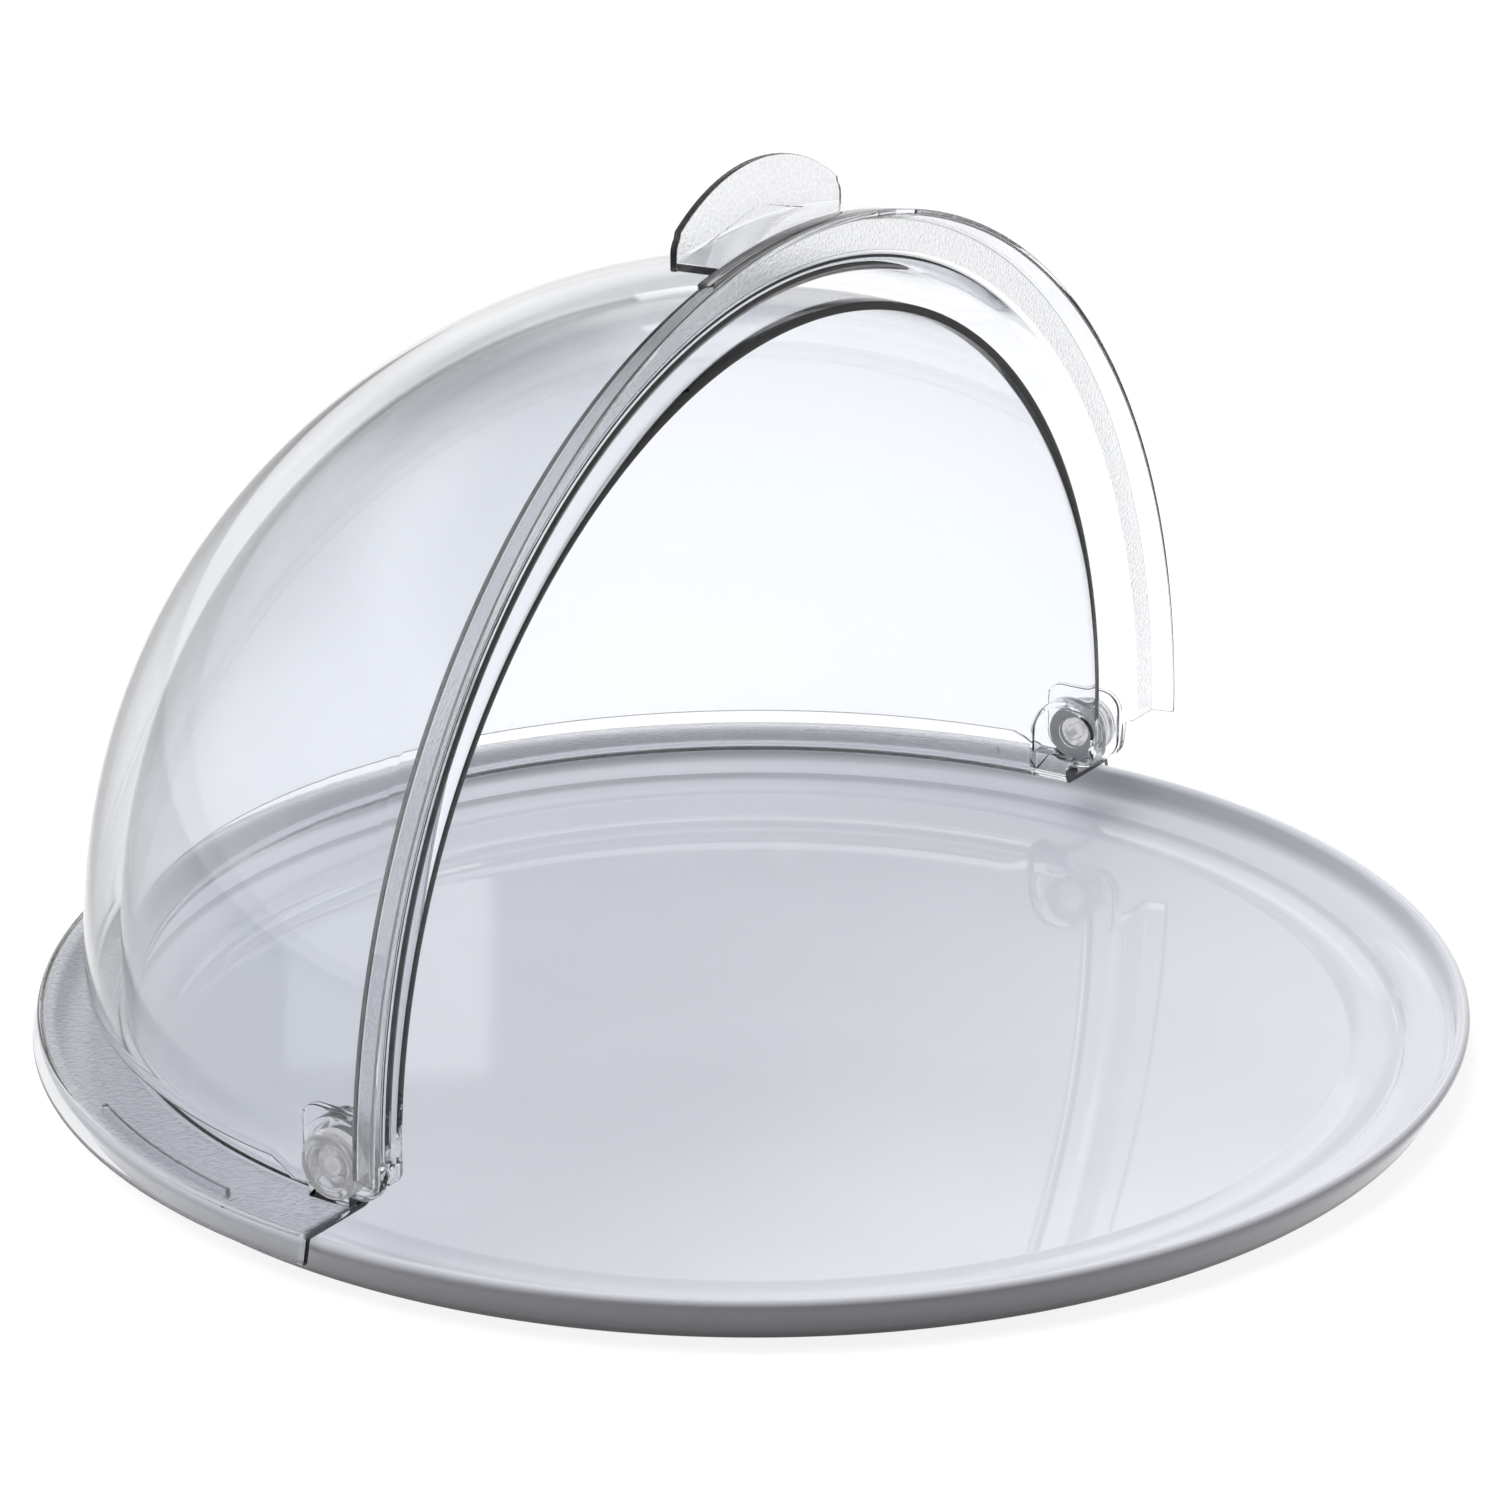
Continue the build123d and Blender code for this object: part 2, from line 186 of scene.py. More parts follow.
class PivotSizes(PropertyGroup):
    """Sizes of the pivot buttons and caps"""

    shank_radius: length("Shank radius", "Radius of the button's shank", 4.5 * MM)
    head_radius: length("Head radius", "Radius of the button's head", BUTTON_HIGH.z - PIVOT_HEIGHT)
    head_height: length("Head height", "Height of the head", 4.0 * MM)
    head_rounding: length("Head rounding", "Round edge of the head", 1.2 * MM)
    disc_radius: length("Disc radius", "Raised centre of the head", 5.35 * MM)
    groove_width: length("Groove width", "Groove round the centre", 0.9 * MM)
    groove_depth: length("Groove depth", "Depth of that groove", 0.8 * MM)
    disc_rounding: length("Disc rounding", "Round edge of the raised centre", 0.3 * MM)
    ring_rounding: length("Ring rounding", "Round edges of the groove and of the cap's recess", 0.2 * MM)
    gap: length("Face gap", "Between a flat face and the face that it lies on", 0.1 * MM)
    snug_gap: length("Snug gap", "Round a shank or plug that stays still", 0.04 * MM)
    running_gap: length("Running gap", "Round the shank that the front cover turns on", 0.08 * MM)
    plug_radius: length("Plug radius", "Radius of the cap's plug", 2.5 * MM)
    plug_length: length("Plug length", "Length of the cap's plug", 7.0 * MM)
    cap_radius: length("Cap radius", "Radius of the cap", CAP_HIGH.z - PIVOT_HEIGHT)
    cap_rounding: length("Cap rounding", "Round edge of the cap", 0.8 * MM)
    ring_radius: length("Ring radius", "Recess in the cap's face", 4.6 * MM)
    ring_depth: length("Ring depth", "Depth of that recess", 0.7 * MM)


class Finishes(PropertyGroup):
    """Colours and surfaces, as sRGB hex values"""

    tray_colour: colour("Tray colour", "Light grey of the tray", "c6c7cd")
    clear_colour: colour("Clear plastic", "Faint cool tint of the covers", "f9fafc")
    pivot_colour: colour("Pivot plastic", "Milky white of the pivots", "fcfcfd")
    floor_colour: colour("Floor", "White of the floor", "ffffff")
    frost_grain: length("Frost grain", "Size of one grain on the frosted faces", 1.1 * MM)


class CameraPlace(PropertyGroup):
    """Where the camera stands and how it is turned"""

    place: FloatVectorProperty(
        name="Place",
        description="Camera position in the frame",
        default=(-0.91987, -0.61398, 0.49233),
        unit="LENGTH",
    )
    azimuth: turn("Azimuth", "Turn about the vertical", -56.20)
    elevation: turn("Elevation", "Height of the view", 20.63)
    roll: turn("Roll", "Turn about the line of sight", -0.17)
    lens: FloatProperty(name="Focal length", description="In millimetres on a 36 mm frame", default=107.44)


# Meshes


def arc(centre, radius, start, end, count):
    """Points centre + radius * (cos, sin) of angles from start to end in degrees"""
    angle = np.radians(np.linspace(start, end, count))
    return np.stack([centre[0] + radius * np.cos(angle), centre[1] + radius * np.sin(angle)], -1)


def line(start, end, count=2, ease=False):
    """Points from start to end, evenly spaced or, eased, closer together near both ends"""
    t = np.linspace(0, 1, count)
    if ease:
        t = (1 - np.cos(pi * t)) / 2
    return np.asarray(start) * (1 - t)[:, None] + np.asarray(end) * t[:, None]


def through(*runs):
    """One line of points through several runs, without the doubled point where two runs meet"""
    points = [np.asarray(runs[0], float)]
    for run in runs[1:]:
        run = np.asarray(run, float)
        meets = np.allclose(points[-1][-1], run[0], atol=1e-7)
        points.append(run[1:] if meets else run)
    return np.concatenate(points)


def rounded(corners, radii, steps=6):
    """Points of a closed outline through the corners, each rounded by a circle of its radius

    The circle touches both sides at radius / tan(half the corner's angle) from the corner.
    """
    corners = np.asarray(corners, float)
    out = []
    for before, corner, after, radius in zip(np.roll(corners, 1, 0), corners, np.roll(corners, -1, 0), radii):
        if radius == 0:
            out.append(corner[None])
            continue
        to_before = (before - corner) / np.linalg.norm(before - corner)
        to_after = (after - corner) / np.linalg.norm(after - corner)
        half = np.arccos(np.clip(to_before @ to_after, -1, 1)) / 2
        middle = (to_before + to_after) / np.linalg.norm(to_before + to_after)
        centre = corner + middle * radius / sin(half)
        first = corner + to_before * radius / np.tan(half) - centre
        last = corner + to_after * radius / np.tan(half) - centre
        share = np.linspace(0, 1, steps)[:, None]
        swing = np.arccos(np.clip(first @ last / radius**2, -1, 1))
        out.append(centre + (first * np.sin((1 - share) * swing) + last * np.sin(share * swing)) / sin(swing))
    return np.concatenate(out)


def grid_quads(rows, columns, rows_close=False, columns_close=False):
    """Quads of a grid whose vertices are numbered row by row"""
    row = np.arange(rows if rows_close else rows - 1)
    column = np.arange(columns if columns_close else columns - 1)
    i, j = np.meshgrid(row, column, indexing="ij")
    i_next, j_next = (i + 1) % rows, (j + 1) % columns
    quads = [i * columns + j, i_next * columns + j, i_next * columns + j_next, i * columns + j_next]
    return np.stack(quads, -1).reshape(-1, 4)


def mesh_piece(name, points, quads, sharp=40.0):
    """A closed smooth-shaded mesh from points and quads, welded, with its faces turned outwards"""
    mesh = bpy.data.meshes.new(name)
    mesh.from_pydata(points.tolist(), [], quads.tolist())
    work = bmesh.new()
    work.from_mesh(mesh)
    bmesh.ops.remove_doubles(work, verts=work.verts, dist=WELD)
    bmesh.ops.dissolve_degenerate(work, edges=work.edges, dist=WELD / 10)
    bmesh.ops.recalc_face_normals(work, faces=work.faces)
    work.to_mesh(mesh)
    work.free()
    mesh.shade_smooth()
    mesh.set_sharp_from_angle(angle=radians(sharp))
    piece = bpy.data.objects.new(name, mesh)
    bpy.context.scene.collection.objects.link(piece)
    return piece


def turned(name, section, axis, segments=96, sharp=40.0):
    """A section of (radius, height) points turned round an axis

    Point = (r cos t, r sin t, h) in the axis's own directions, with t once round.
    The section starts and ends on the axis, or closes on itself.
    """
    origin, across, up, along = axis
    t = np.linspace(0, 2 * pi, segments, endpoint=False)
    r, h = section[:, :1], section[:, 1:]
    flat = (r * np.cos(t))[..., None] * across + (r * np.sin(t))[..., None] * up
    points = origin + flat + (h * np.ones_like(t))[..., None] * along
    closes = bool(section[0, 0] > WELD)
    quads = grid_quads(len(section), segments, rows_close=closes, columns_close=True)
    return mesh_piece(name, points.reshape(-1, 3), quads, sharp)


def slab(name, outline, low, high, place, rounding=0.0, steps=3, between=0, end_ring=0.25 * MM):
    """An outline in the plane, carried from low to high, with its two rims rounded off

    place maps arrays (u, v, w) to points. Near each rim the outline is drawn in along its
    normals by rounding * (1 - sin a) while w moves on by rounding * (1 - cos a), and one more
    ring close inside each rim keeps the shading of the ends flat. Where place bends w round a
    curve, more levels lie between the rims instead.
    """
    side = np.roll(outline, -1, 0) - np.roll(outline, 1, 0)
    normal = np.stack([side[:, 1], -side[:, 0]], -1)
    normal /= np.linalg.norm(normal, axis=1, keepdims=True)
    area = np.sum(outline[:, 0] * np.roll(outline[:, 1], -1) - np.roll(outline[:, 0], -1) * outline[:, 1])
    normal *= -1 if area > 0 else 1
    angle = np.linspace(0, pi / 2, steps) if rounding else np.zeros(1)
    drawn = rounding * (1 - np.sin(angle))
    rise = rounding * (1 - np.cos(angle))
    middle = np.linspace(low + rounding, high - rounding, between + 2)[1:-1]
    flat = [] if between else [rounding + end_ring]
    draws = np.concatenate([flat, drawn, np.zeros(between), drawn[::-1], flat])
    levels = np.concatenate([[low] * len(flat), low + rise, middle, high - rise[::-1], [high] * len(flat)])
    rings = outline[None] + normal[None] * draws[:, None, None]
    centre = outline.mean(0)
    first, last = np.broadcast_to(centre, rings[0].shape), np.broadcast_to(centre, rings[0].shape)
    rings = np.concatenate([first[None], rings, last[None]])
    levels = np.concatenate([[low], levels, [high]])
    w = np.broadcast_to(levels[:, None], rings.shape[:2])
    points = place(rings[..., 0], rings[..., 1], w)
    quads = grid_quads(len(rings), len(outline), columns_close=True)
    return mesh_piece(name, points.reshape(-1, 3), quads)


def combine(piece, tool, operation):
    """Joins the tool to the piece, or cuts it out, and leaves one mesh"""
    change = piece.modifiers.new("combine", "BOOLEAN")
    change.operation = operation
    change.object = tool
    change.solver = "MANIFOLD"
    freeze(piece)
    bpy.data.objects.remove(tool)


def freeze(piece):
    """Puts the result of the piece's modifiers into its mesh"""
    bpy.context.view_layer.update()
    shown = piece.evaluated_get(bpy.context.evaluated_depsgraph_get())
    mesh = bpy.data.meshes.new_from_object(shown)
    piece.modifiers.clear()
    piece.data = mesh


def finish_piece(piece, node, body, material, sharp=40.0):
    """Shades the piece, gives it its material and puts it in its node's place"""
    piece.data.shade_smooth()
    piece.data.set_sharp_from_angle(angle=radians(sharp))
    piece.data.materials.clear()
    piece.data.materials.append(material)
    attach(piece, body)
    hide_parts(node)
    return piece


# Materials

# Settings that many nodes share
SMOOTH = {"interpolation_type": "SMOOTHSTEP"}
ADD = {"operation": "ADD"}
SUBTRACT = {"operation": "SUBTRACT"}
DIVIDE = {"operation": "DIVIDE"}
MAXIMUM = {"operation": "MAXIMUM"}
MULTIPLY = {"operation": "MULTIPLY"}
MULTIPLY_ADD = {"operation": "MULTIPLY_ADD"}
SCALE = {"operation": "SCALE"}
DOT_PRODUCT = {"operation": "DOT_PRODUCT"}
LENGTH = {"operation": "LENGTH"}
FLOAT = {"data_type": "FLOAT"}
# Where most of a noise's values lie
NOISE_RANGE = {"From_Min": 0.3, "From_Max": 0.7}
# How softly a frosted face ends sideways, and the depth that counts as the face
FROST_FADE = 0.4 * MM
FACE_DEPTH = 0.05 * MM


def linear(code):
    """sRGB hex, such as c6cad1, to a linear colour"""
    parts = np.array([int(code[i : i + 2], 16) for i in (0, 2, 4)]) / 255
    values = np.where(parts <= 0.04045, parts / 12.92, ((parts + 0.055) / 1.055) ** 2.4)
    return (*values.tolist(), 1.0)


def node(tree, kind, settings=None, **inputs):
    """Adds a node with its settings, and links or sets its sockets

    A socket is given by its name or, as i0, i1 and so on, by its number. A node given as a
    value is linked by its first output.
    """
    made = tree.nodes.new(kind)
    for name, value in (settings or {}).items():
        setattr(made, name, value)
    for name, value in inputs.items():
        by_number = name[0] == "i" and name[1:].isdigit()
        socket = made.inputs[int(name[1:]) if by_number else name.replace("_", " ")]
        if isinstance(value, bpy.types.Node):
            value = value.outputs[0]
        if isinstance(value, bpy.types.NodeSocket):
            tree.links.new(value, socket)
        else:
            socket.default_value = value
    return made


def new_material(name):
    """An empty node material and its tree"""
    material = bpy.data.materials.new(name)
    material.use_nodes = True
    material.node_tree.nodes.clear()
    return material, material.node_tree


def window(tree, value, low, high, soft):
    """1 where value lies between low and high, falling to 0 over soft at both ends"""
    rise = node(tree, "ShaderNodeMapRange", SMOOTH, Value=value, From_Min=low - soft, From_Max=low)
    fall = node(tree, "ShaderNodeMapRange", SMOOTH, Value=value, From_Min=high + soft, From_Max=high)
    return node(tree, "ShaderNodeMath", MULTIPLY, i0=rise, i1=fall)


def flat_face(tree, radius, inner, outer, height, level):
    """1 on the flat face at a level, between two radii"""
    ring = window(tree, radius, inner, outer, FROST_FADE)
    face = window(tree, height, level - FACE_DEPTH, level + FACE_DEPTH, FACE_DEPTH)
    return node(tree, "ShaderNodeMath", MULTIPLY, i0=ring, i1=face)


def tray_plastic(finishes):
    """Injection-moulded ABS, polished in the mould: an even light grey with a clear reflection"""
    material, tree = new_material("moulded_abs_grey")
    place = node(tree, "ShaderNodeTexCoord").outputs["Object"]
    # Faint mould flow, tens of millimetres wide, which keeps the grey from being one flat tone
    flow = node(tree, "ShaderNodeTexNoise", {}, Vector=place, Scale=1 / (60 * MM), Detail=2.0)
    shade = node(
        tree, "ShaderNodeMapRange", {}, Value=flow.outputs["Fac"], **NOISE_RANGE, To_Min=0.985, To_Max=1.015
    )
    grey = node(tree, "ShaderNodeVectorMath", SCALE, i0=linear(finishes.tray_colour)[:3], Scale=shade)
    # Handling leaves the gloss slightly uneven
    wear = node(tree, "ShaderNodeTexNoise", {}, Vector=place, Scale=1 / (14 * MM), Detail=3.0)
    gloss = node(
        tree, "ShaderNodeMapRange", {}, Value=wear.outputs["Fac"], **NOISE_RANGE, To_Min=0.02, To_Max=0.045
    )
    # Waviness of the moulded surface, which bends the reflections a little
    waves = node(tree, "ShaderNodeTexNoise", {}, Vector=place, Scale=1 / (35 * MM), Detail=1.0)
    bump = node(tree, "ShaderNodeBump", {}, Height=waves.outputs["Fac"], Strength=0.03, Distance=0.5 * MM)
    surface = node(
        tree, "ShaderNodeBsdfPrincipled", {}, Base_Color=grey, Roughness=gloss, IOR=1.53, Normal=bump
    )
    node(tree, "ShaderNodeOutputMaterial", {}, Surface=surface)
    return material


def clear_plastic(name, finishes, mask_of):
    """Moulded SAN: water-clear with sharp reflections, and fine spark-eroded grain where masked"""
    material, tree = new_material(name)
    place = node(tree, "ShaderNodeTexCoord").outputs["Object"]
    frost = mask_of(tree, place)
    rough = node(tree, "ShaderNodeMapRange", {}, Value=frost, To_Min=0.0, To_Max=0.25)
    # The real grain is about 0.2 mm; it is drawn coarser so that it shows from a step away
    grain = node(tree, "ShaderNodeTexNoise", {}, Vector=place, Scale=1 / finishes.frost_grain, Detail=1.0)
    height = node(tree, "ShaderNodeMath", MULTIPLY, i0=grain.outputs["Fac"], i1=frost)
    bump = node(tree, "ShaderNodeBump", {}, Height=height, Strength=1.0, Distance=0.12 * MM)
    # Light that the grain throws aside is lost to the eye, so the face looks speckled
    speck = node(
        tree,
        "ShaderNodeMapRange",
        {},
        Value=grain.outputs["Fac"],
        From_Min=0.35,
        From_Max=0.65,
        To_Min=0.8,
        To_Max=1.0,
    )
    loss = node(tree, "ShaderNodeMix", FLOAT, i0=frost, i2=1.0, i3=speck)
    tint = node(tree, "ShaderNodeVectorMath", SCALE, i0=linear(finishes.clear_colour)[:3], Scale=loss)
    plastic = node(
        tree,
        "ShaderNodeBsdfPrincipled",
        {},
        Base_Color=tint,
        Roughness=rough,
        IOR=1.58,
        Transmission_Weight=1.0,
        Normal=bump,
    )
    # Lamps shine through the thin walls on to the tray instead of casting a solid shadow
    ray = node(tree, "ShaderNodeLightPath")
    passing = node(tree, "ShaderNodeBsdfTransparent", {}, Color=(0.96, 0.965, 0.97, 1))
    mix = node(tree, "ShaderNodeMixShader", {}, Fac=ray.outputs["Is Shadow Ray"], i1=plastic, i2=passing)
    # The plastic's own faint grey, which darkens its edges, where light runs far inside it
    body = node(tree, "ShaderNodeVolumeAbsorption", {}, Color=(0.26, 0.3, 0.42, 1), Density=5.0)
    node(tree, "ShaderNodeOutputMaterial", {}, Surface=mix, Volume=body)
    return material


def pivot_plastic(finishes):
    """Natural polyamide: milky and translucent, with a soft satin shine"""
    material, tree = new_material("natural_polyamide")
    place = node(tree, "ShaderNodeTexCoord").outputs["Object"]
    cloud = node(tree, "ShaderNodeTexNoise", {}, Vector=place, Scale=1 / (4 * MM), Detail=2.0)
    gloss = node(
        tree, "ShaderNodeMapRange", {}, Value=cloud.outputs["Fac"], **NOISE_RANGE, To_Min=0.08, To_Max=0.12
    )
    bump = node(tree, "ShaderNodeBump", {}, Height=cloud.outputs["Fac"], Strength=0.1, Distance=0.1 * MM)
    milky = node(
        tree,
        "ShaderNodeBsdfPrincipled",
        {},
        Base_Color=linear(finishes.pivot_colour),
        Roughness=gloss,
        IOR=1.53,
        Transmission_Weight=0.8,
        Normal=bump,
    )
    # Part of the light of the lamps passes through the milky plastic
    ray = node(tree, "ShaderNodeLightPath")
    passing = node(tree, "ShaderNodeBsdfTransparent", {}, Color=(0.8, 0.8, 0.81, 1))
    mix = node(tree, "ShaderNodeMixShader", {}, Fac=ray.outputs["Is Shadow Ray"], i1=milky, i2=passing)
    node(tree, "ShaderNodeOutputMaterial", {}, Surface=mix)
    return material


# Sections


def tray_section(s):
    """Half section of the tray from the middle of the floor round the lip to the underside"""
    rim_inner = s.lip_radius - 2 * s.bead_radius
    ledge_outer = rim_inner - s.rim_fillet
    step_outer = ledge_outer - s.ledge_width
    moat_outer = step_outer - s.step_width
    floor = moat_outer - s.moat_width
    foot = s.lip_radius - s.rim_draft
    foot_inner = foot - s.foot_rounding - s.foot_width
    under_floor = s.floor_height - s.floor_wall
    under_ledge = s.ledge_height - s.rim_wall
    bead = (s.lip_radius - s.bead_radius, s.lip_height - s.bead_radius)
    # The bead turns on to this many degrees below level, where the outer wall starts
    bead_end = 20
    wall_top = (
        bead[0] + s.bead_radius * cos(radians(bead_end)),
        bead[1] - s.bead_radius * sin(radians(bead_end)),
    )
    x = np.linspace(-1, 1, 15)
    moat_r = (floor + moat_outer) / 2 + x * s.moat_width / 2
    ends = s.floor_height + (s.moat_rim - s.floor_height) * (x + 1) / 2
    moat_sag = s.moat_depth + (s.moat_rim - s.floor_height) / 2
    moat = np.stack([moat_r, ends - moat_sag * (1 - x**2)], -1)
    y = np.linspace(-1, 1, 9)
    ledge_r = (step_outer + ledge_outer) / 2 + y * s.ledge_width / 2
    ledge = np.stack([ledge_r, s.ledge_height - s.ledge_dip * (1 - y**2)], -1)
    return through(
        line((0, s.floor_height), (floor - s.edge_rounding, s.floor_height), 12),
        moat,
        line((moat_outer, s.moat_rim), (step_outer, s.ledge_height), 4),
        ledge,
        arc((ledge_outer, s.ledge_height + s.rim_fillet), s.rim_fillet, -90, 0, 9),
        line((rim_inner, s.ledge_height + s.rim_fillet), (rim_inner, bead[1]), 4),
        arc(bead, s.bead_radius, 180, -bead_end, 19),
        line(wall_top, (foot, s.foot_rounding), 6),
        arc((foot - s.foot_rounding, s.foot_rounding), s.foot_rounding, 0, -90, 6),
        line((foot - s.foot_rounding, 0), (foot_inner, 0), 3),
        line((foot_inner, 0), (foot_inner, under_ledge), 3),
        line((foot_inner, under_ledge), (step_outer, under_ledge), 3),
        line((step_outer, under_ledge), (moat_outer, under_floor), 3),
        line((moat_outer, under_floor), (0, under_floor), 8),
    )


def rim_paths(s, dome_radius):
    """Outer and inner half sections of a rim, from the dome's equator down to the skirt's edge

    Each is a list of (radius, height) points. The n-th points of the two lie face to face. The
    skirt is drawn straight below the flange's edge, then flared: a point moves out by the flare
    times its share of the skirt's depth, times its share of the flange's width.
    """
    inner = dome_radius - s.wall
    under = s.flange_drop + s.flange_wall
    flange_radius = s.skirt_radius - s.skirt_flare
    skirt_inner = flange_radius - s.skirt_wall
    fillet, corner, edge = s.root_fillet, s.flange_rounding, s.skirt_rounding
    bottom = -s.skirt_drop
    outer_path = through(
        line((dome_radius, 0), (dome_radius, fillet - s.flange_drop), 22),
        arc((dome_radius + fillet, fillet - s.flange_drop), fillet, 180, 270, 16),
        line((dome_radius + fillet, -s.flange_drop), (flange_radius - corner, -s.flange_drop), 12, ease=True),
        arc((flange_radius - corner, -s.flange_drop - corner), corner, 90, 0, 7),
        line((flange_radius, -s.flange_drop - corner), (flange_radius, bottom + edge), 6, ease=True),
        arc((flange_radius - edge, bottom + edge), edge, 0, -90, 5),
    )
    inner_path = through(
        line((inner, 0), (inner, fillet - under), 22),
        arc((inner + fillet, fillet - under), fillet, 180, 270, 16),
        line((inner + fillet, -under), (skirt_inner - edge, -under), 12, ease=True),
        arc((skirt_inner - edge, -under - edge), edge, 90, 0, 7),
        line((skirt_inner, -under - edge), (skirt_inner, bottom + edge), 6, ease=True),
        arc((skirt_inner + edge, bottom + edge), edge, 180, 270, 5),
    )
    for path in (outer_path, inner_path):
        depth = np.clip((-s.flange_drop - path[:, 1]) / (s.skirt_drop - s.flange_drop), 0, 1)
        width = np.clip((path[:, 0] - inner - fillet) / (skirt_inner - edge - inner - fillet), 0, 1)
        path[:, 0] += s.skirt_flare * depth * width
    return outer_path, inner_path


def cover_surface(name, s, dome_radius, front_edge, place, arc_steps=144, columns=84, near_columns=9):
    """A cover: a sphere's quarter above the pivot plane with a straight wall, flange and skirt below

    Every point lies on a slice at a distance e behind the axis. On the dome a slice is the arc
    (sqrt(R^2 - e^2) cos a, e, sqrt(R^2 - e^2) sin a) with a from 0 to 180 degrees. On the rim a
    point of the section (r, h) becomes (r cos p, r sin p, h), with p chosen so that the slices
    meet the dome's. The slices begin at front_edge(h), the side outline that the cover is cut
    to, and the nearest few spread evenly from there.
    """
    # The nearest slices spread evenly from the cut side to this far behind the axis
    near = 26 * MM
    outer_path, inner_path = rim_paths(s, dome_radius)
    angle = np.linspace(0, pi, arc_steps + 1)[1:-1]
    share = np.linspace(0, 1, near_columns, endpoint=False)
    rings = []
    for radius, path in ((dome_radius, outer_path), (dome_radius - s.wall, inner_path)):
        far = np.linspace(asin(near / radius), pi / 2, columns)
        first = np.arcsin(front_edge(path[:, 1]) / path[:, 0])
        near_bearing = first[:, None] + (far[0] - first[:, None]) * share
        far_bearing = np.broadcast_to(far, (len(path), columns))
        bearing = np.concatenate([near_bearing, far_bearing], 1)
        height = np.broadcast_to(path[:, 1:], bearing.shape)
        right = np.stack([path[:, :1] * np.cos(bearing), path[:, :1] * np.sin(bearing), height], -1)
        left = right * (-1, 1, 1)
        start = front_edge(radius * np.sin(angle))
        near_e = start[:, None] + (near - start[:, None]) * share
        far_e = np.broadcast_to(radius * np.sin(far), (len(angle), columns))
        e = np.concatenate([near_e, far_e], 1)
        slice_radius = np.sqrt(np.maximum(radius**2 - e**2, 0))
        dome = np.stack([slice_radius * np.cos(angle)[:, None], e, slice_radius * np.sin(angle)[:, None]], -1)
        rings.append(np.concatenate([right[::-1], dome, left]))
    loop = np.concatenate([rings[0], rings[1][::-1]])
    rows, count = loop.shape[:2]
    points = place(loop[..., 0], loop[..., 1], loop[..., 2]).reshape(-1, 3)
    # The cut face joins each outer point of the first slice to the inner point behind it
    outer = np.arange(rows // 2 - 1)
    cut = np.stack([outer, outer + 1, rows - 2 - outer, rows - 1 - outer], -1) * count
    piece = mesh_piece(name, points, np.concatenate([grid_quads(rows, count, rows_close=True), cut]))
    bevel = piece.modifiers.new("edges", "BEVEL")
    bevel.width = s.edge_rounding
    bevel.segments = 2
    bevel.limit_method = "ANGLE"
    bevel.angle_limit = radians(50)
    freeze(piece)
    return piece


def rear_place(x, e, h):
    """The rear cover's slices run back along +Y and its heights up along +Z"""
    return np.stack([x, e, PIVOT_HEIGHT + h], -1)


def front_place(x, e, h):
    """The front cover is rolled open: its slices run up along +Z and its heights back along +Y"""
    return np.stack([x, h, PIVOT_HEIGHT + e], -1)


def side_place(side):
    """Maps (y, height above the axis, distance along the axis) to points on one side"""

    def place(y, h, w):
        return np.stack([side * w, y, PIVOT_HEIGHT + h], -1)

    return place


def rear_edge(s):
    """Side outline of the rear cover: the arch, its ear with a round corner, then the rim's end"""
    # Height over which the outline steps from the ear to the rim's end
    ear_step = 0.5 * MM

    def edge(h):
        low = -s.ear_drop
        round_start = low + s.rear_ear_corner
        depth = np.clip((round_start - h) / s.rear_ear_corner, 0, 1)
        corner = -s.arch_reach + s.rear_ear_corner * (1 - np.sqrt(1 - depth**2))
        step = np.clip((low - h) / ear_step, 0, 1)
        return corner * (1 - step) - np.maximum(h, 0) * tan(s.arch_lean)

    return edge


def front_edge(s):
    """Side outline of the open front cover: dome edge, ear with its corners, then the rim's end"""
    # Depth over which the outline steps from the ear to the rim's end
    ear_step = 0.6 * MM

    def edge(h):
        rise = s.ear_drop - s.front_edge_drop
        along = np.clip((h - s.front_ear_length) / rise, 0, 1)
        heel = -s.ear_drop + rise * np.sqrt(1 - (1 - along) ** 2)
        start = -s.front_ear_reach + s.front_ear_corner
        depth = np.clip((start - h) / s.front_ear_corner, 0, 1)
        toe = s.front_ear_corner * (1 - np.sqrt(1 - depth**2))
        step = np.clip((-s.front_ear_reach - h) / ear_step, 0, 1)
        lowest = heel + toe
        return lowest + (s.rim_end_gap - lowest) * step

    return edge


def carried(name, section, first, last, radius, rounding, place):
    """A section of (radius, height) corners, carried round a cover between two bearings

    Bearings start at the middle of the rim. w is measured along an arc of the given radius, so
    a point (r, h, w) becomes (r sin(w / radius), r cos(w / radius), h) in the cover's directions.
    """

    def at(r, h, w):
        return place(r * np.sin(w / radius), r * np.cos(w / radius), h)

    outline = rounded(section, [rounding] * len(section), 4)
    return slab(name, outline, first * radius, last * radius, at, rounding, between=60)


def handle_strip(name, section, width, radius, rounding):
    """A section carried across the middle of the front cover's rim, of the given width"""
    half = asin(width / 2 / radius)
    return carried(name, section, -half, half, radius, rounding, front_place)


# Operators


class ROLLTOP_OT_tray(Operator):
    """Build the tray as one turned section"""

    bl_idname = "rolltop.tray"
    bl_label = "Tray"

    def execute(self, context):
        axis = (np.zeros(3), np.array([1.0, 0, 0]), np.array([0, 1.0, 0]), np.array([0, 0, 1.0]))
        piece = turned("serving_tray", tray_section(context.scene.rolltop_tray), axis, segments=288)
        finish_piece(piece, "tray", "tray", tray_plastic(context.scene.rolltop_finishes))
        return {"FINISHED"}


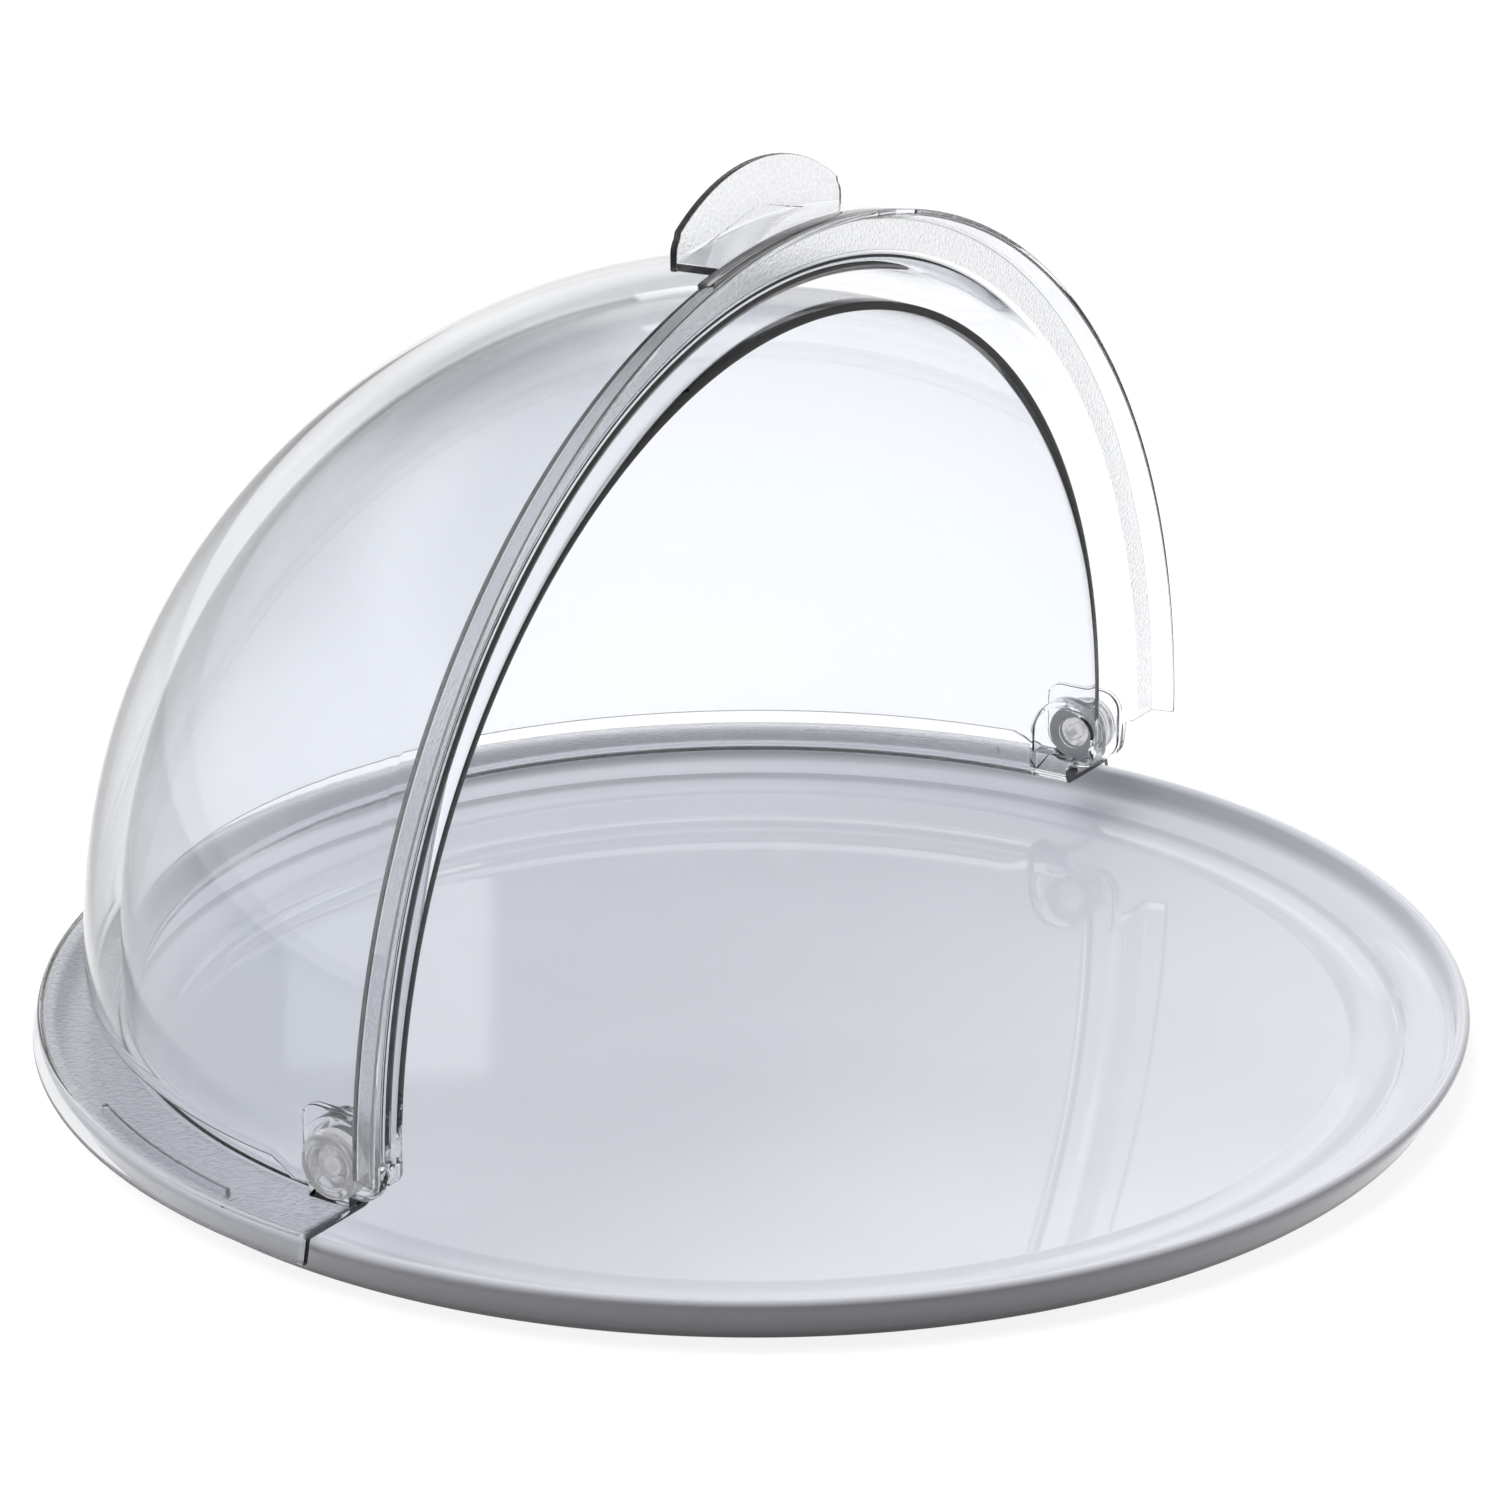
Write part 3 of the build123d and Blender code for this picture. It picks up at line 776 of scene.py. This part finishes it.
class ROLLTOP_OT_rear_cover(Operator):
    """Build the rear half dome with its pads and the ribs under its flange"""

    bl_idname = "rolltop.rear_cover"
    bl_label = "Rear cover"

    def execute(self, context):
        s, p, v = context.scene.rolltop_cover, context.scene.rolltop_pads, context.scene.rolltop_pivots
        piece = cover_surface("rear_half_dome", s, s.rear_radius, rear_edge(s), rear_place)
        front = -s.arch_reach + p.inset
        low = -s.ear_drop + p.inset
        foot = -s.flange_drop - s.flange_wall / 3
        middle = (front + p.rear_arch, p.rear_top - p.rear_arch)
        right = middle[0] + p.rear_arch
        outline = through(
            arc(middle, p.rear_arch, 0, 180, 25),
            arc((front + s.rear_ear_corner, low + s.rear_ear_corner), s.rear_ear_corner, 180, 270, 7),
            line((p.inset, low), (p.inset, foot)),
            line((right, foot), (right, foot)),
        )
        # The pocket inside the pad, the cap's seat and the button's hole
        pocket_radius = p.rear_arch + p.inset - p.rear_wall
        floor = p.rear_wall - s.ear_drop
        pocket = through(
            arc(middle, pocket_radius, 0, 180, 25),
            line((middle[0] - pocket_radius, floor), (middle[0] + pocket_radius, floor)),
        )
        seat = arc((0, 0), v.cap_radius + v.gap, 0, 360, 65)[:-1]
        bore = arc((0, 0), v.shank_radius + v.snug_gap, 0, 360, 49)[:-1]
        pad_base = s.rear_radius - s.wall / 2
        # The cuts start this far inside the dome, clear of its curved wall
        inside = s.rear_radius - 10 * s.wall
        for side in (-1, 1):
            pad = slab("pad", outline, pad_base, p.rear_outer, side_place(side), s.edge_rounding)
            combine(piece, pad, "UNION")
            for cut, end in ((pocket, p.rear_inner), (seat, p.rear_inner), (bore, s.skirt_radius)):
                combine(piece, slab("cut", cut, inside, end, side_place(side)), "DIFFERENCE")
        # Two ribs under the flange keep the cover in the middle of the tray's lip
        under = -s.flange_drop - s.flange_wall
        rib_foot, rib_root = under - s.rib_depth, under + s.flange_wall / 2
        rib_inner, rib_outer = s.rib_radius - s.rib_wall, s.rib_radius
        section = [(rib_inner, rib_foot), (rib_outer, rib_foot), (rib_outer, rib_root), (rib_inner, rib_root)]
        for start in (s.rib_start, -s.rib_start - s.rib_angle):
            rib = carried("rib", section, start, start + s.rib_angle, rib_outer, s.rib_rounding, rear_place)
            combine(piece, rib, "UNION")
        flange_top = PIVOT_HEIGHT - s.flange_drop

        def frosted(tree, place):
            """The flange's top, from its root out to its rounded edge"""
            axes = node(tree, "ShaderNodeSeparateXYZ", {}, Vector=place)
            flat = node(tree, "ShaderNodeCombineXYZ", {}, X=axes.outputs["X"], Y=axes.outputs["Y"])
            radius = node(tree, "ShaderNodeVectorMath", LENGTH, i0=flat).outputs["Value"]
            inner = s.rear_radius + s.root_fillet + 0.6 * MM
            outer = s.skirt_radius - s.skirt_flare - 1.0 * MM
            return flat_face(tree, radius, inner, outer, axes.outputs["Z"], flange_top)

        material = clear_plastic("moulded_san_rear", context.scene.rolltop_finishes, frosted)
        finish_piece(piece, "rear_cover", "rear_cover", material)
        return {"FINISHED"}


class ROLLTOP_OT_front_cover(Operator):
    """Build the front half dome, rolled open, with its pads and handle"""

    bl_idname = "rolltop.front_cover"
    bl_label = "Front cover"

    def execute(self, context):
        s, p, v = context.scene.rolltop_cover, context.scene.rolltop_pads, context.scene.rolltop_pivots
        piece = cover_surface("front_half_dome", s, s.front_radius, front_edge(s), front_place)
        front = -s.front_ear_reach + p.inset
        low = -s.ear_drop + p.inset
        corners = [(p.front_rear, low), (p.front_rear, p.front_top), (front, p.front_top), (front, low)]
        outline = rounded(corners, (p.front_corner, p.front_corner, p.front_corner, s.front_ear_corner), 8)
        for side in (-1, 1):
            pad = slab("pad", outline, p.front_inner, p.front_outer, side_place(side), s.edge_rounding)
            combine(piece, pad, "UNION")
            bore = arc((0, 0), v.shank_radius + v.running_gap, 0, 360, 49)[:-1]
            drill = slab("drill", bore, s.rear_radius, s.skirt_radius, side_place(side))
            combine(piece, drill, "DIFFERENCE")
        flange_top = -s.flange_drop
        flange_radius = s.skirt_radius - s.skirt_flare
        slope = s.skirt_flare / (s.skirt_drop - s.flange_drop)
        strip_top = flange_radius + p.grip_stand
        strip_foot = flange_radius + slope * p.grip_depth
        strip_end = flange_top - p.grip_depth
        strip = [
            (flange_radius - p.grip_root, flange_top - p.overlap),
            (strip_top, flange_top - p.overlap),
            (strip_foot, strip_end),
            (strip_foot - p.grip_root, strip_end - p.grip_toe),
        ]
        combine(piece, handle_strip("strip", strip, p.grip_width, strip_top, p.grip_rounding), "UNION")
        shelf_radius = flange_radius + p.shelf_stand
        shelf_inner = shelf_radius - p.shelf_wall
        tab_low = p.shelf_depth - s.flange_drop
        shelf = [
            (strip_top - p.shelf_wall, flange_top - s.flange_wall / 2),
            (strip_top - p.overlap, flange_top - p.shelf_root),
            (shelf_radius - p.overlap, tab_low + p.tab_wall / 2),
            (shelf_inner, tab_low + p.tab_wall / 2),
        ]
        shelf_width = p.handle_width - p.shelf_inset
        combine(piece, handle_strip("shelf", shelf, shelf_width, shelf_radius, p.shelf_rounding), "UNION")
        top = FRONT_HIGH.z - PIVOT_HEIGHT
        centre = top - p.tab_arc
        half_width = p.handle_width / 2
        side_top = centre + np.sqrt(p.tab_arc**2 - half_width**2)
        bow = np.degrees(np.arccos((half_width - p.tab_shoulder) / p.tab_arc))
        bottom = shelf_inner + p.overlap
        end = np.degrees(np.arccos(half_width / bottom))
        # The corners' circles lie just low enough for their ends to meet the bowed edge
        corner_middle = half_width - p.tab_corner
        corner_height = side_top - p.tab_corner * 0.75
        outline = np.concatenate(
            [
                arc((0, centre), p.tab_arc, bow, 180 - bow, 40),
                arc((-corner_middle, corner_height), p.tab_corner, 135, 180, 6),
                arc((0, 0), bottom, 180 - end, end, 40),
                arc((corner_middle, corner_height), p.tab_corner, 0, 45, 6),
            ]
        )
        tab = slab("tab", outline, tab_low, tab_low + p.tab_wall, front_place, p.tab_rounding)
        combine(piece, tab, "UNION")

        def frosted(tree, place):
            """The flange's upper face and the front face of the handle's tab"""
            axes = node(tree, "ShaderNodeSeparateXYZ", {}, Vector=place)
            rise = node(tree, "ShaderNodeMath", SUBTRACT, i0=axes.outputs["Z"], i1=PIVOT_HEIGHT)
            flat = node(tree, "ShaderNodeCombineXYZ", {}, X=axes.outputs["X"], Y=rise)
            radius = node(tree, "ShaderNodeVectorMath", LENGTH, i0=flat).outputs["Value"]
            inner, outer = s.front_radius + s.root_fillet + 0.3 * MM, flange_radius - 1.0 * MM
            flange = flat_face(tree, radius, inner, outer, axes.outputs["Y"], flange_top)
            inner, outer = shelf_radius + 1.0 * MM, s.skirt_radius * 2
            tab_face = flat_face(tree, radius, inner, outer, axes.outputs["Y"], tab_low)
            return node(tree, "ShaderNodeMath", MAXIMUM, i0=flange, i1=tab_face)

        material = clear_plastic("moulded_san_front", context.scene.rolltop_finishes, frosted)
        finish_piece(piece, "front_cover", "front_cover", material)
        return {"FINISHED"}


class ROLLTOP_OT_pivots(Operator):
    """Build the two pivot buttons and the two caps inside"""

    bl_idname = "rolltop.pivots"
    bl_label = "Pivots"

    def execute(self, context):
        v = context.scene.rolltop_pivots
        material = pivot_plastic(context.scene.rolltop_finishes)
        face = BUTTON_HIGH.x
        under_head = face - v.head_height
        groove_floor, groove_outer = face - v.groove_depth, v.disc_radius + v.groove_width
        hole_radius, hole_end = v.plug_radius + v.snug_gap, CAP_HIGH.x + v.gap
        seat = CAP_HIGH.x - v.plug_length
        button = through(
            line((0, face), (v.disc_radius - v.disc_rounding, face), 4),
            arc((v.disc_radius - v.disc_rounding, face - v.disc_rounding), v.disc_rounding, 90, 0, 4),
            line((v.disc_radius, groove_floor), (groove_outer, groove_floor)),
            arc((groove_outer + v.ring_rounding, face - v.ring_rounding), v.ring_rounding, 180, 90, 4),
            arc((v.head_radius - v.head_rounding, face - v.head_rounding), v.head_rounding, 90, 0, 8),
            line((v.head_radius, under_head), (v.shank_radius, under_head)),
            line((v.shank_radius, under_head), (v.shank_radius, BUTTON_LOW.x)),
            line((hole_radius, BUTTON_LOW.x), (hole_radius, hole_end)),
            line((0, hole_end), (0, hole_end)),
        )
        cap = through(
            line((0, CAP_LOW.x + v.ring_depth), (v.ring_radius, CAP_LOW.x + v.ring_depth), 3),
            arc((v.ring_radius + v.ring_rounding, CAP_LOW.x + v.ring_rounding), v.ring_rounding, 180, 270, 4),
            arc((v.cap_radius - v.cap_rounding, CAP_LOW.x + v.cap_rounding), v.cap_rounding, 270, 360, 7),
            line((v.cap_radius, seat), (v.plug_radius, seat)),
            line((v.plug_radius, CAP_HIGH.x), (0, CAP_HIGH.x)),
        )
        for side, side_name in ((-1, "left"), (1, "right")):
            axis = (
                np.array([0, 0, PIVOT_HEIGHT]),
                np.array([0, 1.0, 0]),
                np.array([0, 0, 1.0]),
                np.array([side, 0, 0.0]),
            )
            for name, section in (("pivot_button", button), ("pivot_cap", cap)):
                piece = turned(f"{side_name}_milky_{name}", section, axis, segments=64, sharp=35.0)
                finish_piece(piece, f"{side_name}_{name}", "rear_cover", material, 35.0)
        return {"FINISHED"}


class ROLLTOP_OT_stage(Operator):
    """Build the floor, the lamps, the world and the camera"""

    bl_idname = "rolltop.stage"
    bl_label = "Stage"

    def execute(self, context):
        scene = context.scene
        scene.view_settings.view_transform = "Standard"
        floor_mesh = bpy.data.meshes.new("floor")
        reach = 6.0
        corners = [(-reach, -reach, 0), (reach, -reach, 0), (reach, reach, 0), (-reach, reach, 0)]
        floor_mesh.from_pydata(corners, [], [(0, 1, 2, 3)])
        floor = bpy.data.objects.new("floor", floor_mesh)
        scene.collection.objects.link(floor)
        floor_mesh.materials.append(floor_material(scene))
        make_world(scene)
        tray_middle, dome_middle = (0, 0, 0.05), (0, 0, 0.1)
        lamp("overhead_softbox", (0.1, 0.6, 1.7), tray_middle, width=1.5, height=1.2, power=44.0)
        lamp("left_softbox", (-1.2, 1.1, 1.0), dome_middle, width=0.8, height=1.4, power=4.0)
        lamp("right_softbox", (1.2, -1.25, 0.4), dome_middle, width=0.7, height=0.8, power=7.0)
        make_camera(scene)
        return {"FINISHED"}


def studio_axes(scene):
    """Level directions behind the object and to its right, as the camera was first set up"""
    azimuth = scene.rolltop_camera.azimuth
    return (-sin(azimuth), cos(azimuth), 0), (cos(azimuth), sin(azimuth), 0)


def floor_material(scene):
    """A white paper sweep: seen as plain white, with the tray's soft shadow

    Gloss and clear plastic meet it white only on the strip of paper under and behind the
    object, which widens towards the back. Beside the strip they meet it dimmer.
    """
    seen_level = 0.86
    strip_level, gloss_level, plastic_level = 0.88, 0.22, 0.44
    material, tree = new_material("white_sweep")
    ray = node(tree, "ShaderNodeLightPath")
    place = node(tree, "ShaderNodeTexCoord").outputs["Object"]
    away, across = studio_axes(scene)
    along = node(tree, "ShaderNodeVectorMath", DOT_PRODUCT, i0=place, i1=away).outputs["Value"]
    beside = node(tree, "ShaderNodeVectorMath", DOT_PRODUCT, i0=place, i1=across).outputs["Value"]
    # The strip's sides run from a point 1.2 m in front of the object
    from_point = node(tree, "ShaderNodeMath", ADD, i0=along, i1=1.2)
    spread = node(tree, "ShaderNodeMath", DIVIDE, i0=beside, i1=from_point)
    length_part = window(tree, along, low=-0.1, high=9.0, soft=0.4)
    width_part = window(tree, spread, low=-0.15, high=0.16, soft=0.04)
    strip = node(tree, "ShaderNodeMath", MULTIPLY, i0=length_part, i1=width_part)
    level = seen_level
    for flag, low in (("Is Glossy Ray", gloss_level), ("Is Transmission Ray", plastic_level)):
        shown = node(tree, "ShaderNodeMapRange", {}, Value=strip, To_Min=low, To_Max=strip_level)
        level = node(tree, "ShaderNodeMix", FLOAT, i0=ray.outputs[flag], i2=level, i3=shown)
    # The lamps light the paper near the object; farther out its own glow keeps it white
    distance = node(tree, "ShaderNodeVectorMath", LENGTH, i0=place).outputs["Value"]
    seen = node(
        tree,
        "ShaderNodeMapRange",
        {},
        Value=distance,
        From_Min=0.6,
        From_Max=1.4,
        To_Min=seen_level,
        To_Max=1.0,
    )
    level = node(tree, "ShaderNodeMix", FLOAT, i0=ray.outputs["Is Camera Ray"], i2=level, i3=seen)
    lit_by = node(
        tree, "ShaderNodeMath", MAXIMUM, i0=ray.outputs["Is Camera Ray"], i1=ray.outputs["Is Glossy Ray"]
    )
    # Paper that the eye or gloss meets glows and keeps its shadow; other light meets dull paper
    paper = node(tree, "ShaderNodeBsdfDiffuse", {}, Color=(0.25, 0.25, 0.26, 1))
    white = linear(scene.rolltop_finishes.floor_colour)
    glow = node(tree, "ShaderNodeEmission", {}, Color=white, Strength=level)
    shadowed = node(tree, "ShaderNodeBsdfDiffuse", {}, Color=(0.2, 0.2, 0.2, 1))
    lit = node(tree, "ShaderNodeAddShader", {}, i0=shadowed, i1=glow)
    mix = node(tree, "ShaderNodeMixShader", {}, Fac=lit_by, i1=paper, i2=lit)
    node(tree, "ShaderNodeOutputMaterial", {}, Surface=mix)
    return material


def make_world(scene):
    """White sweep low down, a dim room above, soft boxes high at the back and on the left

    The eye meets plain white. Light that runs through plastic meets part of the sweep all
    round, and gloss meets it only behind the object.
    """
    room_level = 0.42
    world = bpy.data.worlds.new("studio")
    world.use_nodes = True
    tree = world.node_tree
    tree.nodes.clear()
    ray = node(tree, "ShaderNodeLightPath")
    towards = node(tree, "ShaderNodeTexCoord").outputs["Generated"]
    away, across = studio_axes(scene)
    behind = node(tree, "ShaderNodeVectorMath", DOT_PRODUCT, i0=towards, i1=away).outputs["Value"]
    beside = node(tree, "ShaderNodeVectorMath", DOT_PRODUCT, i0=towards, i1=across).outputs["Value"]
    height = node(tree, "ShaderNodeSeparateXYZ", {}, Vector=towards).outputs["Z"]

    def eased(value, start, end, first, last):
        """From first to last as the value goes from start to end"""
        span = {"From_Min": start, "From_Max": end, "To_Min": first, "To_Max": last}
        return node(tree, "ShaderNodeMapRange", SMOOTH, Value=value, **span)

    def add_box(total, strength, side, side_soft, rise, rise_soft):
        """Adds a soft box, between two sideways and two upward parts of the direction"""
        sideways = window(tree, beside, *side, side_soft)
        upward = window(tree, height, *rise, rise_soft)
        inside = node(tree, "ShaderNodeMath", MULTIPLY, i0=sideways, i1=upward)
        return node(tree, "ShaderNodeMath", MULTIPLY_ADD, i0=inside, i1=strength, i2=total)

    light = eased(behind, -0.5, 0.8, first=0.08, last=0.75)
    low = eased(height, 0.1, 0.3, first=1.0, last=0.0)
    middle = eased(behind, 0.8, 0.95, first=0.0, last=1.0)
    sweep = node(tree, "ShaderNodeMath", MULTIPLY, i0=low, i1=middle)
    round_share = node(tree, "ShaderNodeMapRange", {}, Value=middle, To_Min=0.25, To_Max=1.0)
    low_round = node(tree, "ShaderNodeMath", MULTIPLY, i0=low, i1=round_share)
    # A small window, mirrored in the rear dome
    total = add_box(0.0, 1.1, side=(-0.131, -0.066), side_soft=0.006, rise=(0.371, 0.415), rise_soft=0.006)
    # A bank of light high at the back, brightest on the right
    total = add_box(total, 0.5, side=(0.06, 0.4), side_soft=0.1, rise=(0.4, 0.6), rise_soft=0.05)
    total = add_box(total, 0.5, side=(-0.15, 0.4), side_soft=0.1, rise=(0.45, 0.6), rise_soft=0.03)
    # A pale wall on the far left
    total = add_box(total, 0.4, side=(-1.0, -0.6), side_soft=0.3, rise=(0.0, 0.6), rise_soft=0.2)
    # Dark cards on the left and at the back, which give the domes their grey edges
    total = add_box(total, -0.25, side=(-0.75, -0.35), side_soft=0.15, rise=(-0.3, 0.45), rise_soft=0.15)
    total = add_box(total, -0.2, side=(-0.45, 0.1), side_soft=0.1, rise=(0.28, 0.42), rise_soft=0.05)
    level = light
    for flag, base in (("Is Glossy Ray", sweep), ("Is Transmission Ray", low_round)):
        room = node(tree, "ShaderNodeMath", MULTIPLY_ADD, i0=base, i1=1 - room_level, i2=room_level)
        room = node(tree, "ShaderNodeMath", ADD, i0=room, i1=total)
        level = node(tree, "ShaderNodeMix", FLOAT, i0=ray.outputs[flag], i2=level, i3=room)
    level = node(tree, "ShaderNodeMix", FLOAT, i0=ray.outputs["Is Camera Ray"], i2=level, i3=1.0)
    studio = node(tree, "ShaderNodeBackground", {}, Color=(1, 1, 1, 1), Strength=level)
    node(tree, "ShaderNodeOutputWorld", {}, Surface=studio)
    scene.world = world


def lamp(name, place, aim, width, height, power):
    """A soft rectangular lamp that faces its aim"""
    data = bpy.data.lights.new(name, "AREA")
    data.shape = "RECTANGLE"
    data.size = width
    data.size_y = height
    data.energy = power
    made = bpy.data.objects.new(name, data)
    made.visible_glossy = False
    made.visible_transmission = False
    made.location = place
    made.rotation_euler = (Vector(aim) - Vector(place)).to_track_quat("-Z", "Y").to_euler()
    bpy.context.scene.collection.objects.link(made)


def make_camera(scene):
    """The camera at the photograph's angle; back, right and up come from azimuth and elevation"""
    c = scene.rolltop_camera
    back = Vector((sin(c.azimuth) * cos(c.elevation), -cos(c.azimuth) * cos(c.elevation), sin(c.elevation)))
    level = Vector((cos(c.azimuth), sin(c.azimuth), 0))
    upward = back.cross(level)
    right = level * cos(c.roll) + upward * sin(c.roll)
    up = upward * cos(c.roll) - level * sin(c.roll)
    data = bpy.data.cameras.new("camera")
    data.sensor_width = 36.0
    data.lens = c.lens
    camera = bpy.data.objects.new("camera", data)
    facing = Matrix((right, up, back)).transposed().to_4x4()
    camera.matrix_world = Matrix.Translation(Vector(c.place)) @ facing
    scene.collection.objects.link(camera)
    scene.camera = camera


class ROLLTOP_PT_panel(Panel):
    """Lists the pieces and their sizes"""

    bl_label = "Roll-top tray"
    bl_idname = "ROLLTOP_PT_panel"
    bl_space_type = "VIEW_3D"
    bl_region_type = "UI"
    bl_category = "Roll-top tray"

    def draw(self, context):
        for operator in OPERATORS:
            self.layout.operator(operator.bl_idname)
        for name in SETTINGS:
            box = self.layout.box()
            settings = getattr(context.scene, name)
            for key in settings.__annotations__:
                box.prop(settings, key)


SETTINGS = {
    "rolltop_tray": TraySizes,
    "rolltop_cover": CoverSizes,
    "rolltop_pads": PadSizes,
    "rolltop_pivots": PivotSizes,
    "rolltop_finishes": Finishes,
    "rolltop_camera": CameraPlace,
}
OPERATORS = (
    ROLLTOP_OT_tray,
    ROLLTOP_OT_rear_cover,
    ROLLTOP_OT_front_cover,
    ROLLTOP_OT_pivots,
    ROLLTOP_OT_stage,
)


def register():
    for kind in (*SETTINGS.values(), *OPERATORS, ROLLTOP_PT_panel):
        bpy.utils.register_class(kind)
    for name, kind in SETTINGS.items():
        setattr(bpy.types.Scene, name, PointerProperty(type=kind))


def unregister():
    for name in SETTINGS:
        delattr(bpy.types.Scene, name)
    for kind in reversed((*SETTINGS.values(), *OPERATORS, ROLLTOP_PT_panel)):
        bpy.utils.unregister_class(kind)


def main():
    register()
    bpy.ops.rolltop.tray()
    bpy.ops.rolltop.rear_cover()
    bpy.ops.rolltop.front_cover()
    bpy.ops.rolltop.pivots()
    bpy.ops.rolltop.stage()


if __name__ == "__main__":
    main()
